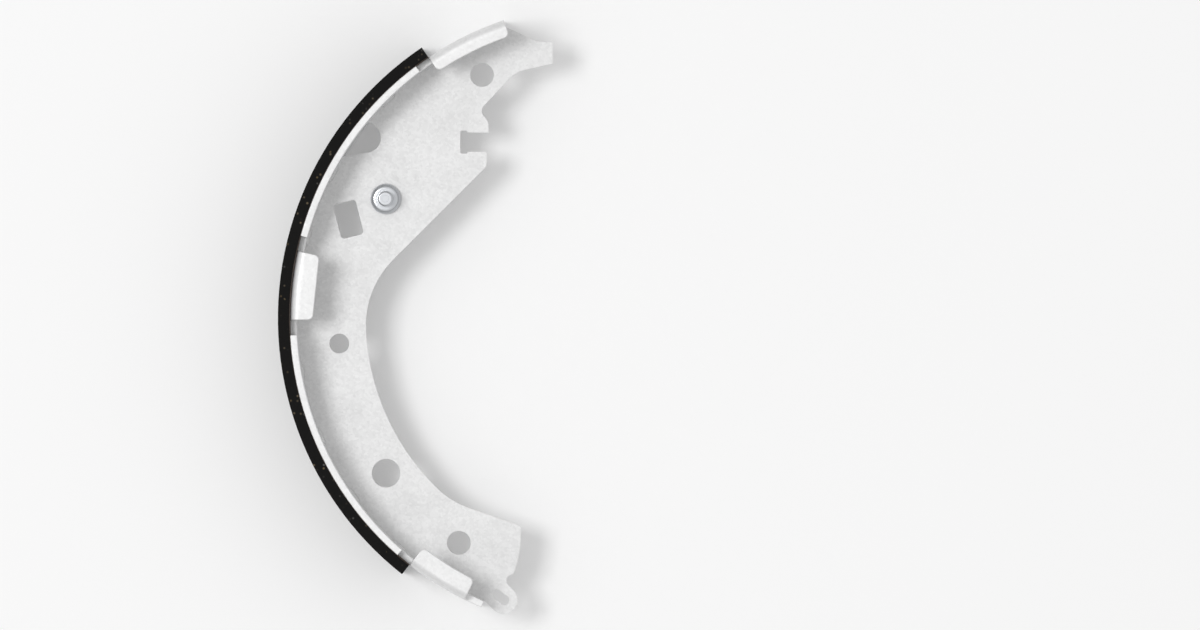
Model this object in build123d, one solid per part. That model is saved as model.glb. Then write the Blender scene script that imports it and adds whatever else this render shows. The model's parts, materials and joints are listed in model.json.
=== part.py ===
from build123d import *

import os
from math import cos, degrees, radians, sin

# A brake shoe for a drum brake, lying on the plain edge of its rim.
# It is drawn about the axis of the drum: X runs across the drum, Y runs from
# the anchor up to the wheel cylinder, and Z along the axis of the drum.
# Places on the shoe are given as a depth in from the inner face of the rim,
# and as a rise in degrees above the shoe's centre line, which is the -X axis.
# All sizes are in millimetres and degrees.

# Drum and lining
DRUM_DIAMETER = 220.0
RUNNING_CLEARANCE = 0.3
LINING_THICKNESS = 4.0
LINING_WIDTH = 40.0
LINING_RISE_ANGLE = 56.0
LINING_FALL_ANGLE = 51.7

# Rim, a rolled strip with guide tabs folded in along one edge
RIM_THICKNESS = 2.3
RIM_WIDTH = 41.0
RIM_TAIL_ANGLE = 3.4
TAB_PROUD = 0.5
TAB_BEND_RADIUS = 0.8
TAB_CORNER_RADIUS = 1.8
TOP_TAB_SPAN_ANGLE = 15.4
TOP_TAB_REACH = 3.5
MIDDLE_TAB_RISE_ANGLE = 6.0
MIDDLE_TAB_SPAN_ANGLE = 12.7
MIDDLE_TAB_REACH = 6.0
FOOT_TAB_SPAN_ANGLE = 11.9
FOOT_TAB_REACH = 5.3
RELIEF_LENGTH = 5.0
RELIEF_DEPTH = 5.0

# Web, a flat stamping with its outline worked from the head to the foot
WEB_THICKNESS = 2.6
WEB_DEPTH = 23.0
EDGE_RADIUS = 0.5

# Resistance welds that show as small beads along both sides of the web's foot
WELD_LENGTH = 5.0
WELD_RADIUS = 0.8
WELD_PITCH_ANGLE = 12.0

# Head, where the piston of the wheel cylinder pushes
NOSE_REACH = 15.6
NOSE_DROP = 4.9
NOSE_LAND = 5.0
NOSE_LAND_BLEND = 4.0
NOSE_FACE = 7.4
THROAT_BACK = 12.5
THROAT_DROP = 2.8
THROAT_RADIUS = 10.0

# Strut slot and the neck above it
SLOT_DEPTH = 26.8
SLOT_RISE_ANGLE = 50.7
SLOT_HEIGHT = 6.4
UPPER_JAW_LENGTH = 9.5
LOWER_JAW_LENGTH = 8.9
POCKET_LENGTH = 2.5
POCKET_EXTRA_HEIGHT = 1.3
POCKET_CORNER_RADIUS = 0.6
NECK_BACK = 3.0
NECK_HEIGHT = 7.5
NECK_RADIUS = 2.5
UPPER_JAW_FACE = 3.5
UPPER_JAW_BLEND = 3.0
LOWER_JAW_FACE = 4.9
LOWER_JAW_BLEND = 3.0

# Inner edge below the slot
SLOPE_END_RISE_ANGLE = 8.0
SLOPE_BLEND = 31.5
HEEL_FALL_ANGLE = 50.5
HEEL_BLEND = 29.0

# Foot, with the rounded end that bears on the anchor and the spring ear
ANCHOR_TOP_REACH = 12.2
ANCHOR_TOP_HEIGHT = 25.2
ANCHOR_TIP_REACH = 9.8
ANCHOR_TIP_HEIGHT = 9.0
ANCHOR_FACE_RADIUS = 37.0
CROOK_SETBACK = 1.2
CROOK_RADIUS = 2.0
EAR_ANGLE = -45.0
EAR_RADIUS = 4.7
EAR_LENGTH = 4.5
EAR_SLOT_LENGTH = 6.5
EAR_SLOT_WIDTH = 3.2
EAR_SLOT_ANGLE = -37.0
EAR_SLOT_SETBACK = 1.5

# Holes in the web
LEVER_HOLE_DIAMETER = 8.0
LEVER_HOLE_DEPTH = 11.7
LEVER_HOLE_RISE_ANGLE = 63.3
SPRING_HOLE_DIAMETER = 6.6
SPRING_HOLE_DEPTH = 13.7
SPRING_HOLE_FALL_ANGLE = 5.5
HOLD_DOWN_HOLE_DIAMETER = 9.6
HOLD_DOWN_HOLE_DEPTH = 13.2
HOLD_DOWN_HOLE_FALL_ANGLE = 35.4
FOOT_HOLE_DIAMETER = 8.0
FOOT_HOLE_DEPTH = 13.2
FOOT_HOLE_FALL_ANGLE = 57.1
WINDOW_WIDTH = 7.8
WINDOW_LENGTH = 11.9
WINDOW_TILT_ANGLE = 14.2
WINDOW_CORNER_RADIUS = 1.2
WINDOW_DEPTH = 11.0
WINDOW_RISE_ANGLE = 21.1
RIM_NOTCH_RADIUS = 5.1
RIM_NOTCH_DEPTH = 2.6
RIM_NOTCH_RISE_ANGLE = 37.1
RIM_NOTCH_TURN_ANGLE = 189.0

# Adjuster stud, headed in one piece and riveted through the web
STUD_DEPTH = 19.5
STUD_RISE_ANGLE = 28.6
STUD_DIAMETER = 5.0
STUD_HEIGHT = 10.0
STUD_END_CHAMFER = 0.4
COLLAR_DIAMETER = 10.3
COLLAR_TOP_DIAMETER = 7.0
COLLAR_HEIGHT = 2.8
COLLAR_LIP = 0.7
STUD_TAIL_DIAMETER = 5.0
RIVET_FLARE = 0.5

# Room beyond a face that a cutting shape runs through
CUT_ROOM = 5.0

QUARTER_TURN = 90.0

# Radii about the drum's axis, from the lining in to the rim's inner face
LINING_OUTER = DRUM_DIAMETER / 2 - RUNNING_CLEARANCE
RIM_OUTER = LINING_OUTER - LINING_THICKNESS
RIM_INNER = RIM_OUTER - RIM_THICKNESS

# Angles of the rim's ends and of its tabs, as rises above the centre line
RIM_TOP_ANGLE = LINING_RISE_ANGLE + TOP_TAB_SPAN_ANGLE
FOOT_TAB_END_ANGLE = -LINING_FALL_ANGLE - FOOT_TAB_SPAN_ANGLE
RIM_FOOT_ANGLE = FOOT_TAB_END_ANGLE - RIM_TAIL_ANGLE
MIDDLE_TAB_TOP_ANGLE = MIDDLE_TAB_RISE_ANGLE + MIDDLE_TAB_SPAN_ANGLE / 2
MIDDLE_TAB_FOOT_ANGLE = MIDDLE_TAB_RISE_ANGLE - MIDDLE_TAB_SPAN_ANGLE / 2
RELIEF_ANGLE = degrees(RELIEF_LENGTH / RIM_INNER)

# Heights above the surface on which the rim's plain edge rests
TAB_FACE_HEIGHT = RIM_WIDTH + TAB_PROUD
TAB_BEND_OUTER = TAB_BEND_RADIUS + RIM_THICKNESS
WEB_BACK_HEIGHT = (RIM_WIDTH - WEB_THICKNESS) / 2
WEB_FRONT_HEIGHT = WEB_BACK_HEIGHT + WEB_THICKNESS


def at_radius(radius, rise):
    """The point at this radius from the drum's axis and this rise."""
    return Vector(-radius * cos(radians(rise)), radius * sin(radians(rise)))


def on_shoe(depth, rise):
    """The point this deep in from the rim's inner face."""
    return at_radius(RIM_INNER - depth, rise)


def arc_about_axis(radius, from_rise, to_rise):
    """An arc about the drum's axis between two rises."""
    middle_rise = (from_rise + to_rise) / 2
    return ThreePointArc(
        at_radius(radius, from_rise),
        at_radius(radius, middle_rise),
        at_radius(radius, to_rise),
    )


def sector(inner, outer, low_rise, high_rise):
    """A flat piece of ring between two radii and two rises."""
    edges = [
        arc_about_axis(outer, low_rise, high_rise),
        Line(at_radius(outer, high_rise), at_radius(inner, high_rise)),
        arc_about_axis(inner, high_rise, low_rise),
        Line(at_radius(inner, low_rise), at_radius(outer, low_rise)),
    ]
    return make_face(edges)


def round_corner(face, corner, radius):
    """The face with its corner nearest this point rounded."""
    vertex = face.vertices().sort_by_distance(corner)[0]
    return fillet(vertex, radius)


def upright(face, bottom, top):
    """The face raised into a solid between two heights."""
    return extrude(Pos(0, 0, bottom) * face, top - bottom)


def make_lining():
    """The curved friction block, bonded to the rim and square at its ends."""
    margin = (RIM_WIDTH - LINING_WIDTH) / 2
    block = sector(RIM_OUTER, LINING_OUTER, -LINING_FALL_ANGLE, LINING_RISE_ANGLE)
    return upright(block, margin, margin + LINING_WIDTH)


def tab_plan(low_rise, high_rise, reach, straight):
    """A guide tab seen along the drum's axis, with its inner corners rounded."""
    outer = RIM_OUTER + CUT_ROOM
    inner = RIM_INNER - reach
    if straight:
        inner = inner / cos(radians((high_rise - low_rise) / 2))
    low_corner = at_radius(inner, low_rise)
    high_corner = at_radius(inner, high_rise)
    inner_edge = arc_about_axis(inner, high_rise, low_rise)
    if straight:
        inner_edge = Line(high_corner, low_corner)
    edges = [
        arc_about_axis(outer, low_rise, high_rise),
        Line(at_radius(outer, high_rise), high_corner),
        inner_edge,
        Line(low_corner, at_radius(outer, low_rise)),
    ]
    plan = make_face(edges)
    for corner in (low_corner, high_corner):
        plan = round_corner(plan, corner, TAB_CORNER_RADIUS)
    return plan


def guide_tab(low_rise, high_rise, reach, straight):
    """One guide tab: the strip bent through a right angle and run inward."""
    bend_start = TAB_FACE_HEIGHT - TAB_BEND_OUTER
    bend_end = RIM_OUTER - TAB_BEND_OUTER
    tab_under = TAB_FACE_HEIGHT - RIM_THICKNESS
    flange_end = bend_end - reach
    edges = [
        Line((RIM_INNER, bend_start), (RIM_OUTER, bend_start)),
        RadiusArc((RIM_OUTER, bend_start), (bend_end, TAB_FACE_HEIGHT), -TAB_BEND_OUTER),
        Line((bend_end, TAB_FACE_HEIGHT), (flange_end, TAB_FACE_HEIGHT)),
        Line((flange_end, TAB_FACE_HEIGHT), (flange_end, tab_under)),
        Line((flange_end, tab_under), (bend_end, tab_under)),
        RadiusArc((bend_end, tab_under), (RIM_INNER, bend_start), TAB_BEND_RADIUS),
    ]
    profile = Rot(X=QUARTER_TURN) * make_face(edges)
    bent = revolve(profile, Axis.Z, high_rise - low_rise)
    bent = Rot(Z=2 * QUARTER_TURN - high_rise) * bent
    plan = tab_plan(low_rise, high_rise, reach, straight)
    return bent & upright(plan, 0, TAB_FACE_HEIGHT)


def rim_cut(low_rise, high_rise, floor):
    """What comes off the rim's guide edge between two rises, down to a floor."""
    piece = sector(RIM_INNER - CUT_ROOM, RIM_OUTER + CUT_ROOM, low_rise, high_rise)
    return upright(piece, floor, RIM_WIDTH + CUT_ROOM)


def make_rim():
    """The rolled strip with its three folded guide tabs and bend reliefs."""
    strip = sector(RIM_INNER, RIM_OUTER, RIM_FOOT_ANGLE, RIM_TOP_ANGLE)
    rim = upright(strip, 0, RIM_WIDTH)
    bend_start = TAB_FACE_HEIGHT - TAB_BEND_OUTER
    tabs = [
        (LINING_RISE_ANGLE, RIM_TOP_ANGLE, TOP_TAB_REACH, False),
        (MIDDLE_TAB_FOOT_ANGLE, MIDDLE_TAB_TOP_ANGLE, MIDDLE_TAB_REACH, True),
        (FOOT_TAB_END_ANGLE, -LINING_FALL_ANGLE, FOOT_TAB_REACH, False),
    ]
    reliefs = [
        (LINING_RISE_ANGLE - RELIEF_ANGLE, LINING_RISE_ANGLE),
        (MIDDLE_TAB_TOP_ANGLE, MIDDLE_TAB_TOP_ANGLE + RELIEF_ANGLE),
        (MIDDLE_TAB_FOOT_ANGLE - RELIEF_ANGLE, MIDDLE_TAB_FOOT_ANGLE),
        (-LINING_FALL_ANGLE, -LINING_FALL_ANGLE + RELIEF_ANGLE),
        (RIM_FOOT_ANGLE - RELIEF_ANGLE, FOOT_TAB_END_ANGLE),
    ]
    for low_rise, high_rise in reliefs:
        rim -= rim_cut(low_rise, high_rise, RIM_WIDTH - RELIEF_DEPTH)
    for low_rise, high_rise, reach, straight in tabs:
        rim -= rim_cut(low_rise, high_rise, bend_start)
        rim += guide_tab(low_rise, high_rise, reach, straight)
    return rim


def strut_slot(mouth):
    """The slot that takes the strut, with a taller pocket at its deep end."""
    length = UPPER_JAW_LENGTH + CUT_ROOM
    throat = Rectangle(length, SLOT_HEIGHT, align=(Align.MIN, Align.CENTER))
    pocket = RectangleRounded(
        POCKET_LENGTH,
        SLOT_HEIGHT + POCKET_EXTRA_HEIGHT,
        POCKET_CORNER_RADIUS,
        align=(Align.MIN, Align.CENTER),
    )
    return Pos(mouth) * (throat + pocket)


def on_ear(along, across):
    """A point reckoned from the rim's foot end, in the ear's own directions."""
    rim_foot = at_radius(RIM_INNER, RIM_FOOT_ANGLE)
    return rim_foot + Vector(along, across).rotate(Axis.Z, EAR_ANGLE)


def web_outline():
    """The outer shape of the web, from the rim's top end round to its foot."""
    rim_top = at_radius(RIM_INNER, RIM_TOP_ANGLE)
    rim_foot = at_radius(RIM_INNER, RIM_FOOT_ANGLE)
    slot = on_shoe(SLOT_DEPTH, SLOT_RISE_ANGLE)

    nose_top = rim_top + Vector(NOSE_REACH, -NOSE_DROP)
    nose_land = nose_top - Vector(NOSE_LAND, 0)
    nose_bottom = nose_top - Vector(0, NOSE_FACE)
    throat = nose_bottom - Vector(THROAT_BACK, THROAT_DROP)

    upper_jaw = slot + Vector(UPPER_JAW_LENGTH, SLOT_HEIGHT / 2)
    upper_jaw_top = upper_jaw + Vector(0, UPPER_JAW_FACE)
    neck = upper_jaw + Vector(-NECK_BACK, NECK_HEIGHT)
    lower_jaw = slot + Vector(LOWER_JAW_LENGTH, -SLOT_HEIGHT / 2)
    lower_jaw_bottom = lower_jaw - Vector(0, LOWER_JAW_FACE)

    slope_end = on_shoe(WEB_DEPTH, SLOPE_END_RISE_ANGLE)
    heel = on_shoe(WEB_DEPTH, -HEEL_FALL_ANGLE)

    anchor_top = rim_foot + Vector(ANCHOR_TOP_REACH, ANCHOR_TOP_HEIGHT)
    anchor_tip = rim_foot + Vector(ANCHOR_TIP_REACH, ANCHOR_TIP_HEIGHT)
    crook = on_ear(-CROOK_SETBACK, 2 * EAR_RADIUS)
    ear_low = on_ear(EAR_LENGTH, 0)
    ear_high = on_ear(EAR_LENGTH, 2 * EAR_RADIUS)
    ear_end = on_ear(EAR_LENGTH + EAR_RADIUS, EAR_RADIUS)

    edges = [
        Polyline(rim_top, nose_land, nose_top, nose_bottom, throat, neck),
        Polyline(neck, upper_jaw_top, upper_jaw, lower_jaw, lower_jaw_bottom),
        Line(lower_jaw_bottom, slope_end),
        arc_about_axis(RIM_INNER - WEB_DEPTH, SLOPE_END_RISE_ANGLE, -HEEL_FALL_ANGLE),
        Line(heel, anchor_top),
        RadiusArc(anchor_top, anchor_tip, ANCHOR_FACE_RADIUS),
        Polyline(anchor_tip, crook, ear_high),
        ThreePointArc(ear_high, ear_end, ear_low),
        Line(ear_low, rim_foot),
        arc_about_axis(RIM_INNER, RIM_FOOT_ANGLE, RIM_TOP_ANGLE),
    ]
    outline = make_face(edges)
    rounded = [
        (nose_land, NOSE_LAND_BLEND),
        (nose_top, EDGE_RADIUS),
        (nose_bottom, EDGE_RADIUS),
        (throat, THROAT_RADIUS),
        (neck, NECK_RADIUS),
        (upper_jaw_top, UPPER_JAW_BLEND),
        (lower_jaw_bottom, LOWER_JAW_BLEND),
        (slope_end, SLOPE_BLEND),
        (heel, HEEL_BLEND),
        (anchor_top, EDGE_RADIUS),
        (anchor_tip, EDGE_RADIUS),
        (crook, CROOK_RADIUS),
    ]
    for corner, radius in rounded:
        outline = round_corner(outline, corner, radius)
    return outline


def web_openings():
    """Everything that is punched out of the web, as one flat shape."""
    round_holes = [
        (LEVER_HOLE_DIAMETER, LEVER_HOLE_DEPTH, LEVER_HOLE_RISE_ANGLE),
        (SPRING_HOLE_DIAMETER, SPRING_HOLE_DEPTH, -SPRING_HOLE_FALL_ANGLE),
        (HOLD_DOWN_HOLE_DIAMETER, HOLD_DOWN_HOLE_DEPTH, -HOLD_DOWN_HOLE_FALL_ANGLE),
        (FOOT_HOLE_DIAMETER, FOOT_HOLE_DEPTH, -FOOT_HOLE_FALL_ANGLE),
        (STUD_TAIL_DIAMETER, STUD_DEPTH, STUD_RISE_ANGLE),
    ]
    openings = strut_slot(on_shoe(SLOT_DEPTH, SLOT_RISE_ANGLE))
    for diameter, depth, rise in round_holes:
        openings += Pos(on_shoe(depth, rise)) * Circle(diameter / 2)

    window = RectangleRounded(WINDOW_WIDTH, WINDOW_LENGTH, WINDOW_CORNER_RADIUS)
    openings += Pos(on_shoe(WINDOW_DEPTH, WINDOW_RISE_ANGLE)) * Rot(Z=WINDOW_TILT_ANGLE) * window

    notch_run = 2 * RIM_NOTCH_RADIUS
    notch_way = Rectangle(notch_run, notch_run, align=(Align.MIN, Align.CENTER))
    notch = Circle(RIM_NOTCH_RADIUS) + notch_way
    notch_place = on_shoe(RIM_NOTCH_DEPTH, RIM_NOTCH_RISE_ANGLE)
    openings += Pos(notch_place) * Rot(Z=RIM_NOTCH_TURN_ANGLE) * notch

    ear_slot = SlotOverall(EAR_SLOT_LENGTH, EAR_SLOT_WIDTH)
    ear_slot_place = on_ear(EAR_LENGTH - EAR_SLOT_SETBACK, EAR_RADIUS)
    openings += Pos(ear_slot_place) * Rot(Z=EAR_SLOT_ANGLE) * ear_slot
    return openings


def weld_rises(low_rise, high_rise):
    """The rises of the welds on a stretch of the seam, spread evenly along it."""
    count = max(1, round((high_rise - low_rise) / WELD_PITCH_ANGLE))
    pitch = (high_rise - low_rise) / count
    return [low_rise + (index + 0.5) * pitch for index in range(count)]


def weld_bead(rise):
    """One weld's bead, in the corner between the web's front face and the rim."""
    top = WEB_FRONT_HEIGHT + WELD_RADIUS
    inner = RIM_INNER - WELD_RADIUS
    edges = [
        Line((RIM_INNER, WEB_FRONT_HEIGHT), (RIM_INNER, top)),
        RadiusArc((RIM_INNER, top), (inner, WEB_FRONT_HEIGHT), -WELD_RADIUS),
        Line((inner, WEB_FRONT_HEIGHT), (RIM_INNER, WEB_FRONT_HEIGHT)),
    ]
    profile = Rot(X=QUARTER_TURN) * make_face(edges)
    weld_angle = degrees(WELD_LENGTH / RIM_INNER)
    bead = revolve(profile, Axis.Z, weld_angle)
    return Rot(Z=2 * QUARTER_TURN - rise - weld_angle / 2) * bead


def make_web():
    """The flat stamped web, standing on the inner face of the rim."""
    face = web_outline() - web_openings()
    web = upright(face, WEB_BACK_HEIGHT, WEB_FRONT_HEIGHT)
    notch_half_angle = degrees(RIM_NOTCH_RADIUS / RIM_INNER)
    rises = [
        *weld_rises(RIM_FOOT_ANGLE, RIM_NOTCH_RISE_ANGLE - notch_half_angle),
        *weld_rises(RIM_NOTCH_RISE_ANGLE + notch_half_angle, RIM_TOP_ANGLE),
    ]
    middle = Plane.XY.offset(WEB_BACK_HEIGHT + WEB_THICKNESS / 2)
    for rise in rises:
        bead = weld_bead(rise)
        web += bead
        web += mirror(bead, middle)
    stud_place = on_shoe(STUD_DEPTH, STUD_RISE_ANGLE)
    flare = Cone(
        STUD_TAIL_DIAMETER / 2 + RIVET_FLARE,
        STUD_TAIL_DIAMETER / 2,
        RIVET_FLARE,
        align=(Align.CENTER, Align.CENTER, Align.MIN),
    )
    return web - Pos(stud_place.X, stud_place.Y, WEB_BACK_HEIGHT) * flare


def make_adjuster_stud():
    """The stud that carries the adjuster lever, with its domed collar."""
    radius = STUD_DIAMETER / 2
    tail = STUD_TAIL_DIAMETER / 2
    collar = COLLAR_DIAMETER / 2
    collar_top = COLLAR_TOP_DIAMETER / 2
    back = -WEB_THICKNESS
    outline = [
        Line((0, back), (tail + RIVET_FLARE, back)),
        Line((tail + RIVET_FLARE, back), (tail, back + RIVET_FLARE)),
        Line((tail, back + RIVET_FLARE), (tail, 0)),
        Line((tail, 0), (collar, 0)),
        Line((collar, 0), (collar, COLLAR_LIP)),
        EllipticalCenterArc(
            (collar_top, COLLAR_LIP),
            collar - collar_top,
            COLLAR_HEIGHT - COLLAR_LIP,
            start_angle=0,
            arc_size=QUARTER_TURN,
        ),
        Line((collar_top, COLLAR_HEIGHT), (radius, COLLAR_HEIGHT)),
        Line((radius, COLLAR_HEIGHT), (radius, STUD_HEIGHT - STUD_END_CHAMFER)),
        Line(
            (radius, STUD_HEIGHT - STUD_END_CHAMFER),
            (radius - STUD_END_CHAMFER, STUD_HEIGHT),
        ),
        Line((radius - STUD_END_CHAMFER, STUD_HEIGHT), (0, STUD_HEIGHT)),
        Line((0, STUD_HEIGHT), (0, back)),
    ]
    profile = Rot(X=QUARTER_TURN) * make_face(outline)
    place = on_shoe(STUD_DEPTH, STUD_RISE_ANGLE)
    return Pos(place.X, place.Y, WEB_FRONT_HEIGHT) * revolve(profile, Axis.Z)


parts = {
    "web": make_web(),
    "rim": make_rim(),
    "lining": make_lining(),
    "adjuster_stud": make_adjuster_stud(),
}

# The shoe's own origin is at the middle of its underside.
box = Compound(list(parts.values())).bounding_box()
to_origin = Pos(-box.center().X, -box.center().Y, -box.min.Z)

os.makedirs("parts", exist_ok=True)
for name, solid in parts.items():
    export_step(to_origin * solid, f"parts/{name}.step")
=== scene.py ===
import json
from math import cos, radians, sin

import bpy
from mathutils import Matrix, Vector, noise


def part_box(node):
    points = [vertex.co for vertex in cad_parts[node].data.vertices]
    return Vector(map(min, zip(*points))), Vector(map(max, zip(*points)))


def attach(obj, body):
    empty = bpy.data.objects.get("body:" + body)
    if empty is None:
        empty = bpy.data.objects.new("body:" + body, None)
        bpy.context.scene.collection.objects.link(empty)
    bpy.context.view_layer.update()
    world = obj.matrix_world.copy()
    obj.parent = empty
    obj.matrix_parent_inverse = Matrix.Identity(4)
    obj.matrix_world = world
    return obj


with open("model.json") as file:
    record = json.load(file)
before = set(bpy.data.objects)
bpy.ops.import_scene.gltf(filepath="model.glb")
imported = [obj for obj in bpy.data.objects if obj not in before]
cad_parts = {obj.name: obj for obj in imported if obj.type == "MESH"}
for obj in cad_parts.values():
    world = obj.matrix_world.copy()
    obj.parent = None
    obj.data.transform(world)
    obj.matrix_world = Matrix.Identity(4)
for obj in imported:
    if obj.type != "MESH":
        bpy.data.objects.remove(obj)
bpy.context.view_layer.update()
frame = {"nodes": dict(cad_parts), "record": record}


# Web: the flat carrier of the shoe, blanked and pierced in one stroke from sheet
# steel 2.6 mm thick, and resistance welded to the rim. It has a pale grey zinc-flake
# coat, baked on after welding, and its sheared edges are a little rounded.
def linear(hex_colour):
    """An sRGB hex colour as the linear colour that a shader takes, by sRGB's own curve."""
    channels = [int(hex_colour[i : i + 2], 16) / 255 for i in (1, 3, 5)]
    return [*[c / 12.92 if c <= 0.04045 else ((c + 0.055) / 1.055) ** 2.4 for c in channels], 1]


def add(tree, kind, settings, links):
    """A node with its settings, and with its inputs linked from other nodes' outputs."""
    made = tree.nodes.new(kind)
    for name, value in settings.items():
        if isinstance(name, int) or name in made.inputs:
            made.inputs[name].default_value = value
        else:
            setattr(made, name, value)
    for name, source in links.items():
        tree.links.new(source, made.inputs[name])
    return made


def new_material(name):
    """An empty node material, and its tree."""
    material = bpy.data.materials.new(name)
    material.use_nodes = True
    material.node_tree.nodes.clear()
    return material, material.node_tree


SAME_POINT = 0.00001
FLAT_WITHIN_DEG = 0.5
EDGE_FROM_DEG = 35
EDGE_STEPS = 3
LARGE_FACES_LEAD = 100


def dress(node_name, material, edge):
    """Gives a node of the frame its finish, and rounds its edges by this many metres."""
    piece = frame["nodes"][node_name]
    piece.data.materials.clear()
    piece.data.materials.append(material)
    weld = piece.modifiers.new("joined_corners", "WELD")
    weld.merge_threshold = SAME_POINT
    flats = piece.modifiers.new("whole_flats", "DECIMATE")
    flats.decimate_type = "DISSOLVE"
    flats.angle_limit = radians(FLAT_WITHIN_DEG)
    rounding = piece.modifiers.new("rounded_edges", "BEVEL")
    rounding.width = edge
    rounding.segments = EDGE_STEPS
    rounding.limit_method = "ANGLE"
    rounding.angle_limit = radians(EDGE_FROM_DEG)
    shading = piece.modifiers.new("even_shading", "WEIGHTED_NORMAL")
    shading.weight = LARGE_FACES_LEAD
    for face in piece.data.polygons:
        face.use_smooth = True


def pattern_scale(size_mm):
    """The scale of a pattern, in repeats to a metre, from its real size."""
    return 1000 / size_mm


WEB_COAT = "#EAEAEA"
WEB_COAT_DULL = "#CECECE"
WEB_EDGE = 0.00035
COAT_METALLIC = 0.4
COAT_SMOOTHEST = 0.44
COAT_ROUGHEST = 0.58
COAT_CLOUD_MM = 12
COAT_FLAKE_MM = 0.8
FLAKE_SHARE = 0.35
ORANGE_PEEL_MM = 1.6
ORANGE_PEEL_DEPTH = 0.00003
ORANGE_PEEL_STRENGTH = 0.3
MARKS_STRENGTH = 0.6
TEAR_WIDTH_MM = 0.5
TEAR_LENGTH_MM = 5
TEAR_DEPTH = 0.0001
SIDE_SLOPE = 0.5
WELD_BEAD = 0.0008
SMOOTH_BAND = 0.0009

# The web's box reaches up to the weld bead, which stands on its upper face.
WEB_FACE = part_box("web")[1][2] - WELD_BEAD
TORN_BELOW = WEB_FACE - SMOOTH_BAND


def zinc_flake_coat(name, bright, dull, marks, marks_depth):
    """Zinc-flake coat, sprayed and baked. It gives the eye a soft, even metal sheen with
    no sharp reflection, faint clouds of tone, and flakes that each turn another way.
    Real flakes are far too fine to show, so these are drawn 0.8 mm across. The marks
    are those that the steel under the coat keeps from its making."""
    coat, tree = new_material(name)
    place = add(tree, "ShaderNodeTexCoord", {}, {}).outputs["Object"]
    clouds = add(
        tree,
        "ShaderNodeTexNoise",
        {"Scale": pattern_scale(COAT_CLOUD_MM), "Detail": 3, "Roughness": 0.5},
        {"Vector": place},
    )
    cells = add(
        tree, "ShaderNodeTexVoronoi", {"Scale": pattern_scale(COAT_FLAKE_MM)}, {"Vector": place}
    )
    flakes = add(tree, "ShaderNodeSeparateColor", {}, {"Color": cells.outputs["Color"]})
    blend = add(
        tree,
        "ShaderNodeMix",
        {"Factor": FLAKE_SHARE},
        {"A": clouds.outputs["Fac"], "B": flakes.outputs["Red"]},
    )
    tone = add(
        tree,
        "ShaderNodeMix",
        {"data_type": "RGBA", "A": linear(dull), "B": linear(bright)},
        {"Factor": blend.outputs["Result"]},
    )
    gloss = add(
        tree,
        "ShaderNodeMapRange",
        {"To Min": COAT_SMOOTHEST, "To Max": COAT_ROUGHEST},
        {"Value": flakes.outputs["Green"]},
    )
    peel = add(
        tree,
        "ShaderNodeTexNoise",
        {"Scale": pattern_scale(ORANGE_PEEL_MM), "Detail": 1},
        {"Vector": place},
    )
    film = add(
        tree,
        "ShaderNodeBump",
        {"Strength": ORANGE_PEEL_STRENGTH, "Distance": ORANGE_PEEL_DEPTH},
        {"Height": peel.outputs["Fac"]},
    )
    steel = add(
        tree,
        "ShaderNodeBump",
        {"Strength": MARKS_STRENGTH, "Distance": marks_depth},
        {"Height": marks(tree), "Normal": film.outputs["Normal"]},
    )
    surface = add(
        tree,
        "ShaderNodeBsdfPrincipled",
        {"Metallic": COAT_METALLIC},
        {
            "Base Color": tone.outputs["Result"],
            "Roughness": gloss.outputs["Result"],
            "Normal": steel.outputs["Normal"],
        },
    )
    add(tree, "ShaderNodeOutputMaterial", {}, {"Surface": surface.outputs["BSDF"]})
    return coat


def sheared_sides(tree):
    """Upright tear marks on the web's sides, where the sheet broke. They start below the
    smooth band that the press tool cut first."""
    place = add(tree, "ShaderNodeTexCoord", {}, {})
    way = add(tree, "ShaderNodeSeparateXYZ", {}, {"Vector": place.outputs["Normal"]})
    tilt = add(tree, "ShaderNodeMath", {"operation": "ABSOLUTE"}, {0: way.outputs["Z"]})
    side = add(
        tree, "ShaderNodeMath", {"operation": "LESS_THAN", 1: SIDE_SLOPE}, {0: tilt.outputs["Value"]}
    )
    level = add(tree, "ShaderNodeSeparateXYZ", {}, {"Vector": place.outputs["Object"]})
    broken = add(
        tree, "ShaderNodeMath", {"operation": "LESS_THAN", 1: TORN_BELOW}, {0: level.outputs["Z"]}
    )
    torn = add(
        tree,
        "ShaderNodeMath",
        {"operation": "MULTIPLY"},
        {0: side.outputs["Value"], 1: broken.outputs["Value"]},
    )
    across = pattern_scale(TEAR_WIDTH_MM)
    drawn_out = add(
        tree,
        "ShaderNodeMapping",
        {"Scale": (across, across, pattern_scale(TEAR_LENGTH_MM))},
        {"Vector": place.outputs["Object"]},
    )
    tears = add(
        tree, "ShaderNodeTexNoise", {"Scale": 1, "Detail": 2}, {"Vector": drawn_out.outputs["Vector"]}
    )
    return add(
        tree,
        "ShaderNodeMath",
        {"operation": "MULTIPLY"},
        {0: torn.outputs["Value"], 1: tears.outputs["Fac"]},
    ).outputs["Value"]


dress(
    "web",
    zinc_flake_coat("zinc_flake_coat_on_web", WEB_COAT, WEB_COAT_DULL, sheared_sides, TEAR_DEPTH),
    WEB_EDGE,
)


# Rim: a strip of steel 2.3 mm thick, rolled to the drum's curve and welded on the
# web's edge. Its guide tabs are folded in from the strip. It has a paler coat.
RIM_COAT = "#EFEFEF"
RIM_COAT_DULL = "#DBDBDB"
RIM_EDGE = 0.0003
LINING_RADIUS = 0.1097
ROLL_LINE_MM = 0.7
ROLL_RUN_MM = 40
ROLL_LINE_DEPTH = 0.00003

# The drum's axis is one lining radius in from the middle of the friction face.
friction_face = next(
    mount for mount in frame["record"]["mounts"] if mount["name"] == "friction_face"
)
AXIS_X = friction_face["pos_m"][0] + LINING_RADIUS
AXIS_Y = friction_face["pos_m"][1]


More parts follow.
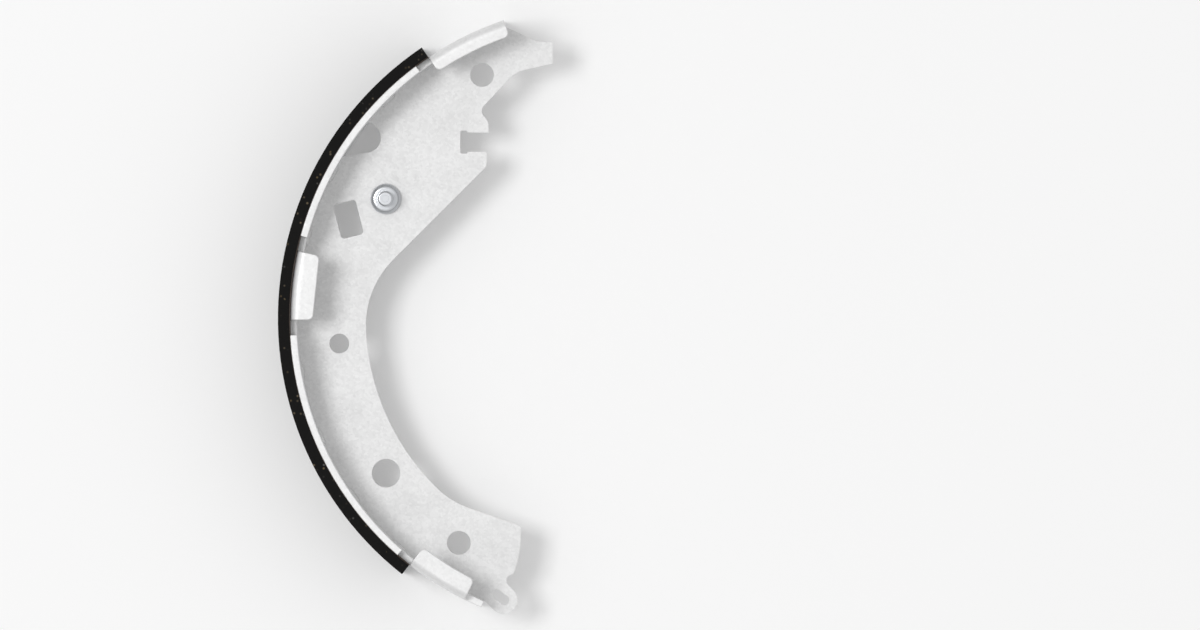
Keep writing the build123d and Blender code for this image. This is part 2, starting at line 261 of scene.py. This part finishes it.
def from_axis(tree, x, y):
    """Each point's offsets from an upright axis at x and y, and its distance from it."""
    place = add(tree, "ShaderNodeTexCoord", {}, {})
    moved = add(
        tree, "ShaderNodeMapping", {"Location": (-x, -y, 0)}, {"Vector": place.outputs["Object"]}
    )
    offset = add(
        tree, "ShaderNodeSeparateXYZ", {}, {"Vector": moved.outputs["Vector"]}
    ).outputs
    level = add(tree, "ShaderNodeCombineXYZ", {}, {"X": offset["X"], "Y": offset["Y"]})
    out = add(
        tree, "ShaderNodeVectorMath", {"operation": "LENGTH"}, {"Vector": level.outputs["Vector"]}
    )
    return offset, out.outputs["Value"]


def on_the_curve(tree):
    """Metres along the shoe's curve, out from the drum's axis, and up."""
    offset, out = from_axis(tree, AXIS_X, AXIS_Y)
    inward = add(tree, "ShaderNodeMath", {"operation": "MULTIPLY", 1: -1}, {0: offset["X"]})
    turn = add(
        tree,
        "ShaderNodeMath",
        {"operation": "ARCTAN2"},
        {0: offset["Y"], 1: inward.outputs["Value"]},
    )
    along = add(
        tree,
        "ShaderNodeMath",
        {"operation": "MULTIPLY", 1: LINING_RADIUS},
        {0: turn.outputs["Value"]},
    )
    return add(
        tree,
        "ShaderNodeCombineXYZ",
        {},
        {"X": along.outputs["Value"], "Y": out, "Z": offset["Z"]},
    ).outputs["Vector"]


def lines_along(tree, run_mm, line_mm):
    """A noise drawn out into lines that follow the shoe's curve."""
    across = pattern_scale(line_mm)
    drawn_out = add(
        tree,
        "ShaderNodeMapping",
        {"Scale": (pattern_scale(run_mm), across, across)},
        {"Vector": on_the_curve(tree)},
    )
    return add(
        tree, "ShaderNodeTexNoise", {"Scale": 1, "Detail": 3}, {"Vector": drawn_out.outputs["Vector"]}
    ).outputs["Fac"]


def rolling_lines(tree):
    """Faint lines along the strip, left by the rolls."""
    return lines_along(tree, ROLL_RUN_MM, ROLL_LINE_MM)


dress(
    "rim",
    zinc_flake_coat(
        "zinc_flake_coat_on_rim", RIM_COAT, RIM_COAT_DULL, rolling_lines, ROLL_LINE_DEPTH
    ),
    RIM_EDGE,
)


# Lining: a curved block of resin-bonded friction material, hot pressed, glued on the
# rim and ground round on its outer face. It is near black, with steel and brass chips.
LINING_BLACK = "#141312"
LINING_SOOT = "#050505"
LINING_GROUND = "#33312E"
STEEL_CHIP = "#5C5B59"
BRASS_CHIP = "#665840"
LINING_EDGE = 0.0002
LINING_ROUGHNESS = 0.85
LINING_SHINE = 0.2
LINING_GRAIN_MM = 0.9
LINING_GRAIN_DEPTH = 0.00012
LINING_GRAIN_STRENGTH = 0.7
CHIP_MM = 1.1
CHIP_SHARE = 0.12
CHIP_SOLID_TO = 0.2
CHIP_GONE_AT = 0.45
SCRATCH_MM = 0.4
SCRATCH_RUN_MM = 50
SCRATCH_FROM = 0.35
SCRATCH_FULL = 0.65
SCRATCH_SHARE = 0.4
GROUND_SKIN = 0.0001


def friction_material(name):
    """Hot-pressed resin, fibre and metal chips. It gives the eye a dead matt near black,
    grainy on the moulded sides, with paler fine scratches on the ground outer face.
    Chips and scratches are drawn about twice too large, so that they show."""
    mix, tree = new_material(name)
    place = add(tree, "ShaderNodeTexCoord", {}, {}).outputs["Object"]
    grain = add(
        tree,
        "ShaderNodeTexNoise",
        {"Scale": pattern_scale(LINING_GRAIN_MM), "Detail": 4, "Roughness": 0.6},
        {"Vector": place},
    )
    cells = add(
        tree, "ShaderNodeTexVoronoi", {"Scale": pattern_scale(CHIP_MM)}, {"Vector": place}
    )
    chips = add(tree, "ShaderNodeSeparateColor", {}, {"Color": cells.outputs["Color"]})
    chosen = add(
        tree,
        "ShaderNodeMath",
        {"operation": "LESS_THAN", 1: CHIP_SHARE},
        {0: chips.outputs["Red"]},
    )
    core = add(
        tree,
        "ShaderNodeMapRange",
        {"From Min": CHIP_SOLID_TO, "From Max": CHIP_GONE_AT, "To Min": 1, "To Max": 0},
        {"Value": cells.outputs["Distance"]},
    )
    in_core = add(
        tree,
        "ShaderNodeMath",
        {"operation": "MULTIPLY"},
        {0: chosen.outputs["Value"], 1: core.outputs["Result"]},
    )
    bared = add(
        tree,
        "ShaderNodeMath",
        {"operation": "MULTIPLY"},
        {0: in_core.outputs["Value"], 1: chips.outputs["Green"]},
    )
    chip_tone = add(
        tree,
        "ShaderNodeMix",
        {"data_type": "RGBA", "A": linear(STEEL_CHIP), "B": linear(BRASS_CHIP)},
        {"Factor": chips.outputs["Blue"]},
    )
    moulded = add(
        tree,
        "ShaderNodeMix",
        {"data_type": "RGBA", "A": linear(LINING_SOOT), "B": linear(LINING_BLACK)},
        {"Factor": grain.outputs["Fac"]},
    )
    out = add(tree, "ShaderNodeSeparateXYZ", {}, {"Vector": on_the_curve(tree)})
    ground = add(
        tree,
        "ShaderNodeMath",
        {"operation": "GREATER_THAN", 1: LINING_RADIUS - GROUND_SKIN},
        {0: out.outputs["Y"]},
    )
    scratches = add(
        tree,
        "ShaderNodeMapRange",
        {"From Min": SCRATCH_FROM, "From Max": SCRATCH_FULL},
        {"Value": lines_along(tree, SCRATCH_RUN_MM, SCRATCH_MM)},
    )
    rubbed = add(
        tree,
        "ShaderNodeMix",
        {"Factor": SCRATCH_SHARE},
        {"A": grain.outputs["Fac"], "B": scratches.outputs["Result"]},
    ).outputs["Result"]
    ground_tone = add(
        tree,
        "ShaderNodeMix",
        {"data_type": "RGBA", "A": linear(LINING_BLACK), "B": linear(LINING_GROUND)},
        {"Factor": rubbed},
    )
    body = add(
        tree,
        "ShaderNodeMix",
        {"data_type": "RGBA"},
        {
            "Factor": ground.outputs["Value"],
            "A": moulded.outputs["Result"],
            "B": ground_tone.outputs["Result"],
        },
    )
    tone = add(
        tree,
        "ShaderNodeMix",
        {"data_type": "RGBA"},
        {
            "Factor": bared.outputs["Value"],
            "A": body.outputs["Result"],
            "B": chip_tone.outputs["Result"],
        },
    )
    height = add(
        tree,
        "ShaderNodeMix",
        {},
        {"Factor": ground.outputs["Value"], "A": grain.outputs["Fac"], "B": rubbed},
    )
    relief = add(
        tree,
        "ShaderNodeBump",
        {"Strength": LINING_GRAIN_STRENGTH, "Distance": LINING_GRAIN_DEPTH},
        {"Height": height.outputs["Result"]},
    )
    surface = add(
        tree,
        "ShaderNodeBsdfPrincipled",
        {"Roughness": LINING_ROUGHNESS, "Specular IOR Level": LINING_SHINE},
        {"Base Color": tone.outputs["Result"], "Normal": relief.outputs["Normal"]},
    )
    add(tree, "ShaderNodeOutputMaterial", {}, {"Surface": surface.outputs["BSDF"]})
    return mix


dress("lining", friction_material("resin_bonded_friction_material"), LINING_EDGE)


# Adhesive: a heat-cured film between the lining and the rim. A thin bead of it is
# squeezed out along both sides of the joint, and cures dark brown.
ADHESIVE_BROWN = "#1F1813"
ADHESIVE_AMBER = "#3F2D20"
ADHESIVE_SMOOTHEST = 0.35
ADHESIVE_ROUGHEST = 0.55
ADHESIVE_CLOUD_MM = 2.5
ADHESIVE_PUCKER_MM = 0.6
ADHESIVE_PUCKER_DEPTH = 0.00002
ADHESIVE_PUCKER_STRENGTH = 0.5
ADHESIVE_RADIUS = 0.00022
ADHESIVE_WANDER = 0.35
ADHESIVE_STEP_DEG = 0.5
ADHESIVE_LUMP = 9
LINING_THICKNESS = 0.004
LINING_TOP_DEG = 56.0
LINING_FOOT_DEG = -51.7
RIM_RADIUS = LINING_RADIUS - LINING_THICKNESS


def adhesive_bead(name, height, film):
    """A thin bead of uneven width along one side of the lining."""
    line = bpy.data.curves.new(name, "CURVE")
    line.dimensions = "3D"
    line.bevel_depth = ADHESIVE_RADIUS
    line.bevel_resolution = 1
    line.use_fill_caps = True
    steps = int((LINING_TOP_DEG - LINING_FOOT_DEG) / ADHESIVE_STEP_DEG)
    run = line.splines.new("POLY")
    run.points.add(steps)
    for index, point in enumerate(run.points):
        rise = radians(LINING_FOOT_DEG + (LINING_TOP_DEG - LINING_FOOT_DEG) * index / steps)
        x = AXIS_X - RIM_RADIUS * cos(rise)
        y = AXIS_Y + RIM_RADIUS * sin(rise)
        point.co = (x, y, height, 1)
        lump = noise.noise(Vector((rise * ADHESIVE_LUMP, height, 0)) * ADHESIVE_LUMP)
        point.radius = 1 + ADHESIVE_WANDER * lump
    line.materials.append(film)
    bead = bpy.data.objects.new(name, line)
    bpy.context.scene.collection.objects.link(bead)
    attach(bead, "root")


def cured_film(name):
    """Phenolic film adhesive, cured in the oven. It gives the eye a dark brown clouded
    with amber, with a soft gloss and a finely puckered skin."""
    film, tree = new_material(name)
    place = add(tree, "ShaderNodeTexCoord", {}, {}).outputs["Object"]
    clouds = add(
        tree,
        "ShaderNodeTexNoise",
        {"Scale": pattern_scale(ADHESIVE_CLOUD_MM), "Detail": 2},
        {"Vector": place},
    )
    tone = add(
        tree,
        "ShaderNodeMix",
        {"data_type": "RGBA", "A": linear(ADHESIVE_BROWN), "B": linear(ADHESIVE_AMBER)},
        {"Factor": clouds.outputs["Fac"]},
    )
    gloss = add(
        tree,
        "ShaderNodeMapRange",
        {"To Min": ADHESIVE_SMOOTHEST, "To Max": ADHESIVE_ROUGHEST},
        {"Value": clouds.outputs["Fac"]},
    )
    puckers = add(
        tree,
        "ShaderNodeTexNoise",
        {"Scale": pattern_scale(ADHESIVE_PUCKER_MM), "Detail": 1},
        {"Vector": place},
    )
    skin = add(
        tree,
        "ShaderNodeBump",
        {"Strength": ADHESIVE_PUCKER_STRENGTH, "Distance": ADHESIVE_PUCKER_DEPTH},
        {"Height": puckers.outputs["Fac"]},
    )
    surface = add(
        tree,
        "ShaderNodeBsdfPrincipled",
        {},
        {
            "Base Color": tone.outputs["Result"],
            "Roughness": gloss.outputs["Result"],
            "Normal": skin.outputs["Normal"],
        },
    )
    add(tree, "ShaderNodeOutputMaterial", {}, {"Surface": surface.outputs["BSDF"]})
    return film


cured_adhesive = cured_film("heat_cured_adhesive")
lining_low, lining_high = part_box("lining")
adhesive_bead("adhesive_front", lining_high[2], cured_adhesive)
adhesive_bead("adhesive_back", lining_low[2], cured_adhesive)


# Adjuster stud: cold-headed steel with a domed collar, riveted through the web. It
# is bright zinc plated.
STUD_ZINC = "#D8DADD"
STUD_ZINC_DULL = "#C6C9CD"
STUD_EDGE = 0.00015
STUD_SMOOTHEST = 0.24
STUD_ROUGHEST = 0.34
RING_MM = 0.35
RING_DEPTH = 0.00001
RING_STRENGTH = 0.3

stud_low, stud_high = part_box("adjuster_stud")
STUD_X = (stud_low[0] + stud_high[0]) / 2
STUD_Y = (stud_low[1] + stud_high[1]) / 2


def bright_zinc_plate(name):
    """Bright zinc plate over cold-headed steel. It gives the eye a clear, faintly blue
    shine, broken by the rings that the heading die leaves. The rings are drawn about
    twice too wide, so that they show."""
    plate, tree = new_material(name)
    offset, out = from_axis(tree, STUD_X, STUD_Y)
    ring_place = add(tree, "ShaderNodeCombineXYZ", {}, {"X": out, "Y": offset["Z"]})
    rings = add(
        tree,
        "ShaderNodeTexNoise",
        {"Scale": pattern_scale(RING_MM), "Detail": 2},
        {"Vector": ring_place.outputs["Vector"]},
    )
    tone = add(
        tree,
        "ShaderNodeMix",
        {"data_type": "RGBA", "A": linear(STUD_ZINC_DULL), "B": linear(STUD_ZINC)},
        {"Factor": rings.outputs["Fac"]},
    )
    gloss = add(
        tree,
        "ShaderNodeMapRange",
        {"To Min": STUD_SMOOTHEST, "To Max": STUD_ROUGHEST},
        {"Value": rings.outputs["Fac"]},
    )
    relief = add(
        tree,
        "ShaderNodeBump",
        {"Strength": RING_STRENGTH, "Distance": RING_DEPTH},
        {"Height": rings.outputs["Fac"]},
    )
    surface = add(
        tree,
        "ShaderNodeBsdfPrincipled",
        {"Metallic": 1.0},
        {
            "Base Color": tone.outputs["Result"],
            "Roughness": gloss.outputs["Result"],
            "Normal": relief.outputs["Normal"],
        },
    )
    add(tree, "ShaderNodeOutputMaterial", {}, {"Surface": surface.outputs["BSDF"]})
    return plate


dress("adjuster_stud", bright_zinc_plate("bright_zinc_plate"), STUD_EDGE)


# Stage: a plain pale floor a hair below the rim's edge, soft studio light and a camera
# straight above. The sky is bright overhead and dimmer lower down, so that edges that
# turn away go darker, and it is bright again at the horizon for low views.
FLOOR_HALF = 4.0
FLOOR_GAP = 0.0001
FLOOR_PALE = "#FBFBFB"
FLOOR_ROUGHNESS = 0.9
FLOOR_SHINE = 0.2
FLOOR_WHITENING = 0.12

floor_mesh = bpy.data.meshes.new("floor")
floor_mesh.from_pydata(
    [(x * FLOOR_HALF, y * FLOOR_HALF, -FLOOR_GAP) for x, y in ((-1, -1), (1, -1), (1, 1), (-1, 1))],
    [],
    [(0, 1, 2, 3)],
)
floor = bpy.data.objects.new("floor", floor_mesh)
bpy.context.scene.collection.objects.link(floor)


def matt_white_paint(name):
    """Matt white floor paint. It gives the eye an even, pale ground that keeps the shoe's
    shadow. A small share of it is plain white to the camera and in reflections, and
    lights nothing else."""
    paint, tree = new_material(name)
    surface = add(
        tree,
        "ShaderNodeBsdfPrincipled",
        {
            "Base Color": linear(FLOOR_PALE),
            "Roughness": FLOOR_ROUGHNESS,
            "Specular IOR Level": FLOOR_SHINE,
        },
        {},
    )
    rays = add(tree, "ShaderNodeLightPath", {}, {})
    seen = add(
        tree,
        "ShaderNodeMath",
        {"operation": "MAXIMUM"},
        {0: rays.outputs["Is Camera Ray"], 1: rays.outputs["Is Glossy Ray"]},
    )
    seen_through = add(
        tree,
        "ShaderNodeMath",
        {"operation": "MAXIMUM"},
        {0: seen.outputs["Value"], 1: rays.outputs["Is Transmission Ray"]},
    )
    share = add(
        tree,
        "ShaderNodeMath",
        {"operation": "MULTIPLY", 1: FLOOR_WHITENING},
        {0: seen_through.outputs["Value"]},
    )
    white = add(tree, "ShaderNodeEmission", {"Color": (1, 1, 1, 1), "Strength": 1}, {})
    whitened = add(
        tree,
        "ShaderNodeMixShader",
        {},
        {0: share.outputs["Value"], 1: surface.outputs["BSDF"], 2: white.outputs["Emission"]},
    )
    add(tree, "ShaderNodeOutputMaterial", {}, {"Surface": whitened.outputs["Shader"]})
    return paint


floor_mesh.materials.append(matt_white_paint("matt_white_floor"))

SKY_OVERHEAD = 0.78
SKY_LOW = 0.28
SKY_DIMS_FROM = 0.85
SKY_DIMS_TO = 0.15
SKY_HORIZON = 0.9
HORIZON_FULL_TO = 0.02
HORIZON_GONE_AT = 0.2

world = bpy.data.worlds.new("studio")
bpy.context.scene.world = world
world.use_nodes = True
sky = world.node_tree
sky.nodes.clear()
direction = add(sky, "ShaderNodeTexCoord", {}, {})
rise = add(sky, "ShaderNodeSeparateXYZ", {}, {"Vector": direction.outputs["Generated"]})
overhead = add(
    sky,
    "ShaderNodeMapRange",
    {
        "interpolation_type": "SMOOTHSTEP",
        "From Min": SKY_DIMS_TO,
        "From Max": SKY_DIMS_FROM,
        "To Min": SKY_LOW,
        "To Max": SKY_OVERHEAD,
    },
    {"Value": rise.outputs["Z"]},
)
horizon = add(
    sky,
    "ShaderNodeMapRange",
    {
        "interpolation_type": "SMOOTHSTEP",
        "From Min": HORIZON_FULL_TO,
        "From Max": HORIZON_GONE_AT,
        "To Min": SKY_HORIZON,
        "To Max": 0,
    },
    {"Value": rise.outputs["Z"]},
)
glow = add(
    sky,
    "ShaderNodeMath",
    {"operation": "MAXIMUM"},
    {0: overhead.outputs["Result"], 1: horizon.outputs["Result"]},
)
light = add(
    sky, "ShaderNodeBackground", {"Color": (1, 1, 1, 1)}, {"Strength": glow.outputs["Value"]}
)
add(sky, "ShaderNodeOutputWorld", {}, {"Surface": light.outputs["Background"]})

LAMP_PLACE = (-1.6, 0.4, 3.8)
LAMP_SIZE = 1.2
LAMP_POWER = 60

lamp = bpy.data.lights.new("key", "AREA")
lamp.size = LAMP_SIZE
lamp.energy = LAMP_POWER
lamp_holder = bpy.data.objects.new("key", lamp)
lamp_holder.location = LAMP_PLACE
lamp_holder.rotation_euler = (-Vector(LAMP_PLACE)).to_track_quat("-Z", "Y").to_euler()
bpy.context.scene.collection.objects.link(lamp_holder)

CAMERA_LENS = 600
CAMERA_REACH = 100
PHOTO_WIDTH = 0.4043
PHOTO_CENTRE = (0.06209, 0.00082)

camera_data = bpy.data.cameras.new("camera")
camera_data.lens = CAMERA_LENS
camera_data.clip_end = CAMERA_REACH
camera = bpy.data.objects.new("camera", camera_data)
distance = CAMERA_LENS / camera_data.sensor_width * PHOTO_WIDTH
camera.location = (*PHOTO_CENTRE, WEB_FACE + distance)
bpy.context.scene.collection.objects.link(camera)
bpy.context.scene.camera = camera
bpy.context.scene.view_settings.view_transform = "Standard"
